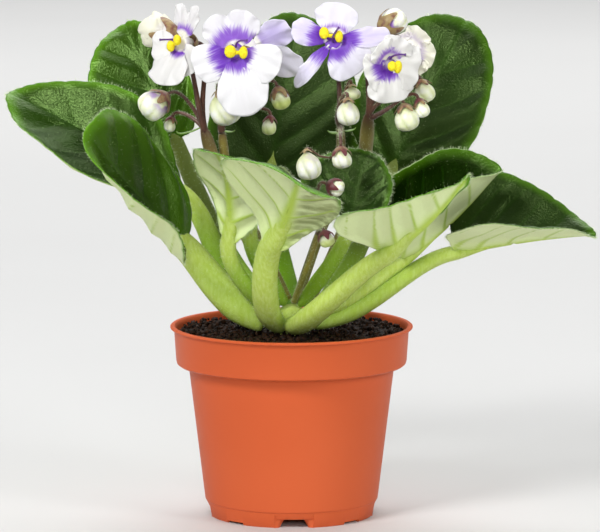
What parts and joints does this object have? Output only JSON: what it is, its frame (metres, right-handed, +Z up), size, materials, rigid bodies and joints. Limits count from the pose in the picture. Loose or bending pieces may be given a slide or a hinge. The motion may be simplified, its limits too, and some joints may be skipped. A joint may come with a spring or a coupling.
{
  "type": "potted plant",
  "caption": "African violet in a round tapered nursery pot: a rosette of long-stalked hairy oval leaves with clusters of small open blooms and nodding buds.",
  "frame": {"origin": "middle of the flat pad under the pot, on the surface the pot stands on", "axes": "+Z up along the pot's axis; the side of the rosette in the picture faces -Y; +X is to its right"},
  "size_m": [0.2186, 0.1375, 0.192],
  "materials": {
    "pot": "moulded terracotta-coloured plastic, satin",
    "soil": "dark crumbly peat; wood stands in for it",
    "leaf": "fleshy hairy leaf: glossy dark green above, pale green below; leather stands in for it",
    "crown": "pale green fleshy stem; leather stands in for it",
    "flower_stalk": "hairy olive-brown stalk; leather stands in for it",
    "petal": "soft white petal with a purple throat; fabric stands in for it",
    "anther": "yellow pollen sacs; fabric stands in for them",
    "style": "dark purple, smooth; leather stands in for it",
    "bud": "cream closed petals; fabric stands in for them"
  },
  "bodies": {
    "root": {"anthers_1": "anther", "anthers_2": "anther", "anthers_4": "anther", "anthers_5": "anther", "bloom_1": "petal", "bloom_2": "petal", "bloom_3": "petal", "bloom_4": "petal", "bloom_5": "petal", "bloom_6": "petal", "bloom_7": "petal", "bud_01": "bud", "bud_02": "bud", "bud_03": "bud", "bud_04": "bud", "bud_05": "bud", "bud_06": "bud", "bud_07": "bud", "bud_08": "bud", "bud_09": "bud", "bud_10": "bud", "bud_11": "bud", "bud_12": "bud", "bud_13": "bud", "bud_14": "bud", "bud_15": "bud", "crown": "crown", "flower_stalk_left": "flower_stalk", "flower_stalk_left_inner": "flower_stalk", "flower_stalk_middle": "flower_stalk", "flower_stalk_right": "flower_stalk", "flower_stalk_young": "flower_stalk", "leaf_back": "leaf", "leaf_back_left": "leaf", "leaf_back_right": "leaf", "leaf_front": "leaf", "leaf_front_left": "leaf", "leaf_front_right": "leaf", "leaf_inner_front": "leaf", "leaf_inner_right": "leaf", "leaf_left": "leaf", "leaf_left_front": "leaf", "leaf_right": "leaf", "leaf_right_front": "leaf", "pot": "pot", "soil": "soil", "style_1": "style", "style_2": "style", "style_4": "style", "style_5": "style"}
  },
  "joints": []
}
